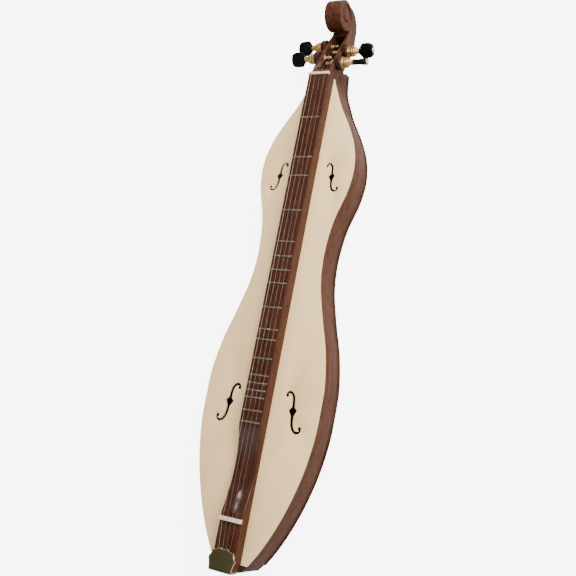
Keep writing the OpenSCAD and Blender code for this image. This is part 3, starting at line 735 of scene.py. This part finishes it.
def roundedBlock(y, half, low, high, r):  # one cross-section of the pegbox
    r = min(r, half * 0.9, (high - low) / 2.1)
    ring = []
    corners = [(half - r, high - r, 0), (-half + r, high - r, 90), (-half + r, low + r, 180),
               (half - r, low + r, 270)]
    for cx, cz, start in corners:
        for k in range(5):
            a = math.radians(start + 22.5 * k)
            ring.append((cx + r * math.cos(a), y, cz + r * math.sin(a)))
    return ring


def pegboxSolid():
    sections = []
    for y in [0] + span(2, 110, 4):
        cheekTop = boardTop - (head["cheek"][0] + head["cheek"][1] * y) * mm
        underside = boardTop - (head["under"][0] + head["under"][1] * y) * mm
        low = head["heel"] * mm if y <= head["heelEnd"] else max(underside, 0.9 * mm)
        high = min(cheekTop, faceZ) if y < 2 else cheekTop
        half = through(head["plan"], y) * mm
        sections.append(roundedBlock(nutY + y * mm, half, low, high, 1.6 * mm))
    return loftRings("pegbox", sections)


def heelSolid():  # the wider foot that carries the body's taper on below the soundboard
    outline = []
    for y in span(0, 34, 3):
        outline.append((through(body["halfWidths"], -y) * mm, nutY + y * mm))
    full = outline + [(-x, y) for x, y in outline[::-1]]
    return slab("heel", full, head["heel"] * mm, faceZ)


def disc(name, cy, cz, radius, half, sides, edge=1.6):
    rings = []
    for x, shrink in ((-half, edge), (-half + 0.45 * edge, 0.45 * edge), (-half + edge, 0), (half - edge, 0),
                      (half - 0.45 * edge, 0.45 * edge), (half, edge)):
        r = radius - shrink * mm
        ring = []
        for k in range(sides):
            a = 2 * math.pi * k / sides
            ring.append((x * mm, cy + r * math.cos(a), cz + r * math.sin(a)))
        rings.append(ring)
    return loftRings(name, rings)


pegbox = makeObject("pegboxScroll", pegboxSolid(), headWood)
heel = makeObject("heel", heelSolid())
carve(pegbox, heel, "UNION")
bowY = nutY + head["bow"][0] * mm
bowZ = drop(head["bow"][1])
bow = makeObject("bow", disc("bow", bowY, bowZ, head["bow"][2] * mm, head["scrollHalf"], 96))
keepShape = [(98, 50), (150, 30), (150, 90), (85, 90)]
keepBlock = makeObject(
    "keep", acrossSlab("keep", [(nutY + y * mm, drop(z)) for y, z in keepShape], 0.03)
)
carve(bow, keepBlock, "INTERSECT")
carve(pegbox, bow, "UNION")
volute = makeObject("volute", disc("volute", voluteY, voluteZ, voluteR, head["scrollHalf"], 96))
carve(pegbox, volute, "UNION")


def cavityShape():
    start, end = [nutY + y * mm for y in head["cavity"]]
    floors = [boardTop - (head["under"][0] + head["under"][1] * y - head["cavityFloor"]) * mm
              for y in head["cavity"]]
    mouth, front = head["cavityMouth"]
    return [(start, drop(0)), (start, floors[0]), (end, floors[1]), (end, drop(front)),
            (nutY + mouth * mm, drop(0))]


carve(pegbox, makeObject("cavity", acrossSlab("cavity", cavityShape(), head["cavityHalf"] * mm)))

pegs = {  # side, distance beyond the nut, drop, turn of the button
    1: (-1, 44, 29.5, -32),
    2: (-1, 74, 45.5, -20),
    3: (1, 58, 37.5, 47),
    4: (1, 29, 22, -58),
}
cheekX = 17.5


def pegPlace(i):
    side, beyond, depth = pegs[i][:3]
    centre = Vector((side * cheekX * mm, nutY + beyond * mm, drop(depth)))
    outward = Matrix.Rotation(math.radians(side * 90), 4, "Y")
    return Matrix.Translation(centre) @ outward


def latheMesh(name, profile, sides=48):  # profile of (radius, height) in mm, turned about Z
    rings = []
    for r, h in profile:
        r = max(r, 0.001)
        turns = [2 * math.pi * k / sides for k in range(sides)]
        rings.append([(r * mm * math.cos(a), r * mm * math.sin(a), h * mm) for a in turns])
    return loftRings(name, rings)


for i in pegs:
    bore = latheMesh("bore", head["bore"], 32)
    bore.transform(pegPlace(i))
    carve(pegbox, makeObject("bore", bore))

addModifier(pegbox, "REMESH", mode="VOXEL", voxel_size=head["voxel"] * mm)
addModifier(pegbox, "SMOOTH", factor=0.5, iterations=5)
applyModifiers(pegbox)


def scrollDepth(y, z):  # how deep the carved turns go at a point of the scroll's cheek, in mm
    dy = (y - voluteY) / mm
    dz = (z - voluteZ) / mm
    r = math.hypot(dy, dz)
    start = math.radians(-138)
    turn = (math.atan2(dz, dy) - start) % (2 * math.pi)
    shrink = math.log(head["turnShrink"])
    full = math.log(head["volute"][2] / max(r, 0.5)) / shrink - turn / (2 * math.pi)
    if full < 0:
        return 0.0
    loops = math.floor(full)
    within = full - loops
    travelled = turn + 2 * math.pi * loops
    growth = easy(travelled / math.radians(110))
    wall = easy(within / 0.1)
    ramp = (1 - within) ** 1.25
    depth = head["grooveDepth"] * growth * wall * ramp
    eyeBlend = easy((head["eye"] + 0.9 - r) / 1.1)
    return depth * (1 - eyeBlend) - head["eyeRise"] * eyeBlend


def carveScroll(piece):
    half = head["scrollHalf"]
    for vertex in piece.data.vertices:
        x, y, z = vertex.co
        side = 1 if x > 0 else -1
        reach = math.hypot(y - voluteY, z - voluteZ)
        if abs(x) < (half - 3.2) * mm or reach > voluteR - 0.4 * mm:
            continue
        flat = easy((abs(x) / mm - (half - 2.6)) / 2.0)
        vertex.co.x = x - side * scrollDepth(y, z) * flat * mm
    return piece


carveScroll(pegbox)
addModifier(pegbox, "SMOOTH", factor=0.4, iterations=2)
applyModifiers(pegbox)
smoothMesh(pegbox.data, 60)
finish(pegbox, "pegboxScroll", "instrument", ["pegbox_and_scroll"])

print("tuners")
tuner = {
    "boss": [(4.3, 0.02), (11.3, 0.02), (11.5, 0.4), (11.5, 7.2), (11.2, 8.3), (10.6, 9.0),
             (9.6, 9.4), (9.1, 9.5), (4.3, 9.5)],
    "sleeve": [(3.05, -8.8), (4.2, -8.8), (4.2, 9.45), (8.6, 9.52), (9.0, 9.7), (9.0, 10.6), (8.7, 10.95),
               (3.05, 11.0)],
    "housing": [
        (2.1, 11.05), (8.2, 11.05), (8.7, 11.3), (8.8, 11.8), (8.8, 13.0), (8.5, 13.4), (7.9, 13.5),
        (7.9, 14.9), (8.4, 15.0), (8.6, 15.4), (8.6, 17.4), (8.2, 17.8), (7.3, 17.9), (7.2, 19.1),
        (7.6, 19.2), (7.6, 20.3), (7.1, 20.9), (5.6, 21.1), (5.3, 22.5), (4.6, 22.9), (4.4, 23.2),
        (4.3, 24.9), (3.9, 25.45), (2.1, 25.5),
    ],
    "shaft": [
        (0.01, 16.2), (2.0, 16.2), (2.0, 25.75), (4.2, 25.8), (4.75, 26.2), (4.8, 26.9), (4.6, 27.6),
        (4.3, 27.9), (4.4, 28.25), (1.9, 28.3), (1.9, 44.9), (0.01, 45.0),
    ],
    "cap": [(0.01, 51.4), (3.9, 51.4), (4.15, 51.9), (4.15, 52.3), (3.7, 53.0), (2.9, 53.5), (1.6, 53.8),
            (0.01, 53.9)],
    "post": [
        (0.01, -19.5), (1.9, -19.5), (2.5, -19.3), (2.9, -18.7), (2.95, -18.0), (2.7, -17.4), (2.65, -11.2),
        (2.9, -10.8), (3.0, -10.2), (3.0, 11.3), (6.2, 11.4), (6.2, 12.7), (0.01, 12.8),
    ],
    "length": 23.5,
    "buttonStart": 28.3,
    "faceHalf": 12.25,
    "sideHalf": [(0, 4.6), (4, 4.6), (9, 4.5), (14.5, 5.0), (20, 5.6), (23.5, 5.8)],
}


def turned(name, key, i, material, sides=48):
    mesh = latheMesh(name, tuner[key], sides)
    mesh.transform(pegPlace(i))
    return makeObject(name, mesh, material, 32)


def buttonMesh(name, turnAngle):  # a rounded paddle with a scooped face
    length = tuner["length"]
    sides = 48
    rings = []
    shoulder = 0.24

    def faceHalf(t):
        neck = 4.3
        full = tuner["faceHalf"]
        if t < shoulder:
            rise = math.sqrt(max(0, 1 - ((shoulder - t) / shoulder) ** 2)) * (t / shoulder) ** 0.8
            return neck + (full - neck) * rise
        return full * math.sqrt(max(0.02, 1 - (abs(t - 0.5) / 0.6) ** 3.6))

    stations = [(0, 0.8), (0, 0.95)] + [(t, 1) for t in span(0.03, 0.95, 0.03)]
    stations += [(0.972, 0.985), (0.988, 0.95), (0.997, 0.88), (1.0, 0.7), (1.0, 0.35)]
    for t, shrink in stations:
        wide = faceHalf(t) * shrink
        thick = through(tuner["sideHalf"], t * length) * (0.3 + 0.7 * shrink)
        ring = []
        for k in range(sides):
            a = 2 * math.pi * k / sides
            c = math.cos(a)
            s = math.sin(a)
            power = 0.62
            u = thick * math.copysign(abs(c) ** power, c)
            v = wide * math.copysign(abs(s) ** 0.8, s)
            scoop = easy((1 - abs(v) / max(wide, 0.1)) * 1.4) * 0.25 * easy(t / 0.3) * easy((1 - t) / 0.2)
            u -= math.copysign(scoop * min(1, abs(c) * 2), c) if abs(c) > 0.05 else 0
            ring.append((u * mm, v * mm, (tuner["buttonStart"] + t * length) * mm))
        rings.append(ring)
    mesh = loftRings(name, rings)
    mesh.transform(Matrix.Rotation(math.radians(turnAngle), 4, "Z"))
    return mesh


for i in pegs:
    finish(turned("gearHousing%d" % i, "housing", i, goldPlate, 64), "gearHousing%d" % i, "instrument",
           ["housing_%d" % i])
    finish(turned("threadedSleeve%d" % i, "sleeve", i, goldPlate), "threadedSleeve%d" % i, "instrument",
           ["sleeve_%d" % i])
    finish(turned("capScrew%d" % i, "cap", i, paleCap), "capScrew%d" % i, "knob_%d" % i,
           ["button_screw_%d" % i])
    finish(turned("postSpindle%d" % i, "post", i, goldPlate), "postSpindle%d" % i, "post_%d" % i,
           ["post_%d" % i])
    finish(turned("knobShaft%d" % i, "shaft", i, goldPlate), "knobShaft%d" % i, "knob_%d" % i,
           ["sun_shaft_%d" % i])
    mesh = buttonMesh("knobButton%d" % i, pegs[i][3])
    mesh.transform(pegPlace(i))
    finish(makeObject("knobButton%d" % i, mesh, blackButton, 45), "knobButton%d" % i, "knob_%d" % i,
           ["button_%d" % i])
    for tag in "ab":
        refined("planet_%d%s" % (i, tag), "planetGear%d%s" % (i, tag), "planet_%d%s" % (i, tag),
                gearSteel, 0)

bosses = bmesh.new()
for i in pegs:
    mesh = latheMesh("boss", tuner["boss"], 64)
    mesh.transform(pegPlace(i))
    bosses.from_mesh(mesh)
bossMesh = bpy.data.meshes.new("pegBosses")
bosses.to_mesh(bossMesh)
bosses.free()
bossPiece = makeObject("pegBosses", bossMesh, bossWood, 32)
finish(bossPiece, "pegBosses", "instrument", ["peg_bosses"])
refined("peg_nuts", "pegNuts", "instrument", goldPlate, 0.25)

print("strings")
strings = {
    "radii": [0.29, 0.2, 0.17, 0.17],
    "nutX": [-12, -4, 4, 12],
    "bridgeX": [-11, -3.7, 3.7, 11],
    "hookX": [-9, -3, 3, 9],
    "postX": [-4.6, -1.8, 1.8, 4.6],
    "hookAt": 757,
    "nutAction": 1.9,
    "bridgeAction": 4.4,
    "postRadius": 3.0,
}


def tube(name, route, radius, material, sides=10):
    points = [Vector(p) for p in route]
    rings = []
    up = Vector((0, 0, 1))
    for k, point in enumerate(points):
        a = points[max(0, k - 1)]
        b = points[min(len(points) - 1, k + 1)]
        along = (b - a).normalized()
        across = along.cross(up)
        if across.length < 0.01:
            across = along.cross(Vector((1, 0, 0)))
        across.normalize()
        lift = across.cross(along)
        turns = [2 * math.pi * j / sides for j in range(sides)]
        rings.append([point + radius * (math.cos(t) * across + math.sin(t) * lift) for t in turns])
    return makeObject(name, loftRings(name, rings), material, 60)


def stringRoute(k):
    beyond, depth = pegs[k + 1][1:3]
    peg = Vector((0, nutY + beyond * mm, drop(depth)))
    r = (strings["postRadius"] + 0.3) * mm + strings["radii"][k] * mm
    nutBack = Vector((0, at(-2), boardTop + strings["nutAction"] * mm))
    toNut = nutBack - peg
    angle = math.atan2(toNut.z, toNut.y) - math.acos(r / toNut.length)
    postX = strings["postX"][k] * mm
    touch = (postX, peg.y + r * math.cos(angle), peg.z + r * math.sin(angle))
    x0, x1, x2 = strings["nutX"][k] * mm, strings["bridgeX"][k] * mm, strings["hookX"][k] * mm
    nutZ = boardTop + strings["nutAction"] * mm
    bridgeZ = boardTop + strings["bridgeAction"] * mm
    hookY = at(strings["hookAt"])
    loopZ = boardTop + 1.9 * mm
    loopR = 1.4 * mm + strings["radii"][k] * mm
    route = [touch, (x0, at(-2), nutZ), (x0, at(2), nutZ), (x1, at(697.5), bridgeZ), (x1, at(703), bridgeZ)]
    route.append((x2 + 0.3 * loopR, hookY + 6 * mm, loopZ))
    for step in range(0, 200, 20):
        a = math.radians(-step)
        route.append((x2 + loopR * math.cos(a), hookY + loopR * math.sin(a), loopZ))
    route.append((x2 - 0.6 * mm, hookY + 4.5 * mm, loopZ))
    return route, peg, postX, angle, r


def winding(name, k, peg, postX, angle, material):  # the turns of wire on a post
    thick = strings["radii"][k] * mm
    r = 2.7 * mm + thick
    side = pegs[k + 1][0]
    turns = 4.5
    pitch = 2.25 * thick
    route = []
    for step in range(int(turns * 24) + 1):
        a = angle - 2 * math.pi * step / 24
        x = postX + side * (0.2 * mm - pitch * step / 24)
        route.append((x, peg.y + r * math.cos(a), peg.z + r * math.sin(a)))
    return tube(name, route, thick, material, 8)


for k in range(4):
    route, peg, postX, angle, r = stringRoute(k)
    metal = stringWound if k == 0 else stringSteel
    wire = tube("stringWire%d" % (k + 1), route, strings["radii"][k] * mm, metal)
    finish(wire, wire.name, "instrument", ["string_%d" % (k + 1)])
    coil = winding("stringWinding%d" % (k + 1), k, peg, postX, angle, metal)
    finish(coil, coil.name, "post_%d" % (k + 1))

print("tailpiece")
cover = {
    "tips": [(6.2, 739.3), (17.8, 743.6), (22.5, 754.5)],
    "rear": (18.6, 772.3),
    "sag": 1.5,
    "lift": 3.4,
    "sheet": 1.0,
    "bevel": 1.0,
    "lip": 64.0,
    "bend": 1.6,
}


def scallopRun(a, b, sag, count=10):  # shallow arc that dips inwards between two tips
    a, b = Vector(a), Vector(b)
    run = b - a
    out = Vector((run.y, -run.x)).normalized()
    return [a + run * (k / count) - out * sag * 4 * (k / count) * (1 - k / count) for k in range(count)]


def coverOutline():
    tips = cover["tips"]
    rear = cover["rear"]
    flip = [(-x, d) for x, d in tips]
    points = scallopRun(flip[0], tips[0], cover["sag"]) + scallopRun(tips[0], tips[1], cover["sag"])
    points += scallopRun(tips[1], tips[2], cover["sag"]) + scallopRun(tips[2], rear, 0.8)
    points += [Vector(rear), Vector((-rear[0], rear[1]))]
    points += scallopRun((-rear[0], rear[1]), flip[2], 0.8)[1:]
    points += scallopRun(flip[2], flip[1], cover["sag"]) + scallopRun(flip[1], flip[0], cover["sag"])
    return points


def insetOutline(points, amount):
    inner = []
    count = len(points)
    for k, p in enumerate(points):
        a = points[(k - 1) % count]
        b = points[(k + 1) % count]
        first = (p - a).normalized()
        second = (b - p).normalized()
        normal = Vector((-(first.y + second.y), first.x + second.x)).normalized()
        stretch = 1 / max(0.6, Vector((-first.y, first.x)).dot(normal))
        inner.append(p + normal * amount * stretch)
    return inner


def coverPiece():
    outline = coverOutline()
    area = sum(a.x * b.y - b.x * a.y for a, b in zip(outline, outline[1:] + outline[:1]))
    inward = 1 if area > 0 else -1
    low = boardTop + cover["lift"] * mm
    high = low + cover["sheet"] * mm
    levels = [(0, low), (0, high - 0.55 * mm), (0.25, high - 0.25 * mm), (cover["bevel"], high)]
    rings = []
    for amount, z in levels:
        ring = insetOutline(outline, inward * amount) if amount else outline
        rings.append([(p.x * mm, at(p.y), z) for p in ring])
    mesh = loftRings("coverPlate", rings)
    # the face takes the shaded brass copy, the rim bevel the lit copy
    mesh.materials.append(shadedCoverBrass)
    mesh.materials.append(litRimBrass)
    # top bevel faces get the lit brass copy: a painted highlight on the rim
    for face in mesh.polygons:
        heights = [mesh.vertices[v].co.z for v in face.vertices]
        if len(face.vertices) == 4 and max(heights) > high - 0.4 * mm:
            face.material_index = 1
    plate = makeObject("coverPlate", mesh, None, 30)
    half = cover["rear"][0] * mm
    end = at(cover["rear"][1])
    bend = cover["bend"] * mm
    bevel = cover["bevel"] * mm
    outer = [(end + bend + bevel, high), (end + bend, high)]
    outer += [(end + bend - bend * math.sin(a), high - bend + bend * math.cos(a))
              for a in [math.radians(15 * k) for k in range(1, 7)]]
    outer += [(end, cover["lip"] * mm + 0.4 * mm), (end + 0.3 * mm, cover["lip"] * mm)]
    inner = [(end + 1.0 * mm, cover["lip"] * mm), (end + 1.0 * mm, low), (end + bend + bevel, low)]
    lipMesh = acrossSlab("coverLip", outer + inner, half)
    # the bend over the tail end takes the lit brass copy: a painted highlight along the fold
    lipMesh.materials.append(litRimBrass)
    lip = makeObject("coverLip", lipMesh, None, 40)
    bevelEdges(lip, 0.25, 2, 60)
    applyModifiers(lip)
    smoothMesh(lip.data, 38)
    flanges = []
    for side in (-1, 1):
        x0 = side * 17.85 * mm
        x1 = side * 18.55 * mm
        near = end + 0.9 * mm
        far = at(756)
        outlineFlange = [(x0, near), (x1, near), (x1, far), (x0, far)]
        flangeMesh = slab("coverFlange", outlineFlange, boardTop + 0.4 * mm, low + 0.4 * mm)
        # the side flanges take the dark, shaded brass copy: a painted dark reflection
        flange = makeObject("coverFlange", flangeMesh, shadedCoverBrass)
        addModifier(flange, "BEVEL", width=0.15 * mm, segments=2)
        applyModifiers(flange)
        flanges.append(flange)
    return plate, [lip] + flanges


plate, folds = coverPiece()
finish(plate, "coverPlate", "cover", ["tailpiece_cover"])
for fold, name in zip(folds, ("coverLip", "coverFlangeBass", "coverFlangeTreble")):
    fold.name = name
    finish(fold, name, "cover")
# the base takes the lit brass copy
refined("tailpiece_base", "tailpieceBase", "instrument", litRimBrass, 0.25)
refined("tailpiece_screws", "tailpieceScrews", "instrument", screwSteel, 0.15)

print("camera, light, floor")
view = {
    "place": (0.55596, -0.27861, 1.09004),
    "aim": (0.0040, -0.0362, 0.05),
    "roll": -58.2,
    "lens": 48.74,
}
place = Vector(view["place"])
forward = (Vector(view["aim"]) - place).normalized()
levelRight = forward.cross(Vector((0, 0, 1))).normalized()
levelUp = levelRight.cross(forward)
roll = math.radians(view["roll"])
right = levelRight * math.cos(roll) + levelUp * math.sin(roll)
up = right.cross(forward)
cameraData = bpy.data.cameras.new("studioCamera")
cameraData.lens = view["lens"]
cameraData.sensor_width = 36
cameraData.clip_start = 0.01
camera = bpy.data.objects.new("studioCamera", cameraData)
camera.matrix_world = Matrix((
    (right.x, up.x, -forward.x, place.x),
    (right.y, up.y, -forward.y, place.y),
    (right.z, up.z, -forward.z, place.z),
    (0, 0, 0, 1),
))
bpy.context.scene.collection.objects.link(camera)
bpy.context.scene.camera = camera


def softbox(name, spot, target, size, power, tone):
    data = bpy.data.lights.new(name, "AREA")
    data.shape = "RECTANGLE"
    data.size = size[0]
    data.size_y = size[1]
    data.energy = power
    data.color = tone
    lamp = bpy.data.objects.new(name, data)
    lamp.location = spot
    lamp.visible_diffuse = name != "glossBox"  # that one only draws the streak in the strum hollow
    lamp.rotation_euler = (Vector(target) - Vector(spot)).to_track_quat("-Z", "Y").to_euler()
    bpy.context.scene.collection.objects.link(lamp)
    return lamp


light = {
    "world": 0.85,
    "worldTone": (1.0, 0.975, 0.94, 1),
    "boxTone": (1.0, 0.95, 0.87),
    "card": (-0.459, 0.202, 0.865),  # a dark card overhead keeps the gloss of flat wood deep
    "cardShade": 0.12,
    "boxes": [  # place, size, power
        ("rightBox", (1.6, 0.5, 1.3), (1.0, 1.8), 56.0),
        ("headBox", (0.5, 2.0, 1.6), (1.4, 0.9), 66.0),
        ("glossBox", (-0.77, 0.42, 1.5), (0.26, 0.1), 1.6),
    ],
}
for name, spot, size, power in light["boxes"]:
    softbox(name, spot, (0, 0, 0.05), size, power, light["boxTone"])


def studioWorld():
    world = bpy.data.worlds.new("studio")
    world.use_nodes = True
    tree = world.node_tree
    direction = addNode(tree, "ShaderNodeTexCoord").outputs["Generated"]
    facing = addNode(tree, "ShaderNodeVectorMath", {0: direction, 1: Vector(light["card"]).normalized()},
                     operation="DOT_PRODUCT")
    shade = addRange(tree, facing.outputs["Value"], 0.80, 0.95, 1.0, light["cardShade"])
    strength = addMath(tree, "MULTIPLY", shade, light["world"])
    tree.links.new(strength, tree.nodes["Background"].inputs["Strength"])
    tree.nodes["Background"].inputs["Color"].default_value = light["worldTone"]
    bpy.context.scene.world = world


studioWorld()

floorMaterial, tree, shader, coordinates = startMaterial("paleFloor")
mottle = addNode(tree, "ShaderNodeTexNoise", {"Vector": coordinates, "Scale": 3.0, "Detail": 3.0})
tree.links.new(addMix(tree, mottle.outputs["Fac"], colour(0.62, 0.61, 0.6), colour(0.66, 0.65, 0.64)),
               shader.inputs["Base Color"])
shader.inputs["Roughness"].default_value = 0.9
seen = addNode(tree, "ShaderNodeLightPath").outputs["Is Camera Ray"]
shader.inputs["Emission Color"].default_value = colour(1, 1, 1)
tree.links.new(addMath(tree, "MULTIPLY", seen, 6.5), shader.inputs["Emission Strength"])
floorMesh = slab("paleFloor", [(-4, -4), (4, -4), (4, 4), (-4, 4)], -0.02, -0.0002)
floor = makeObject("paleFloor", floorMesh, floorMaterial)
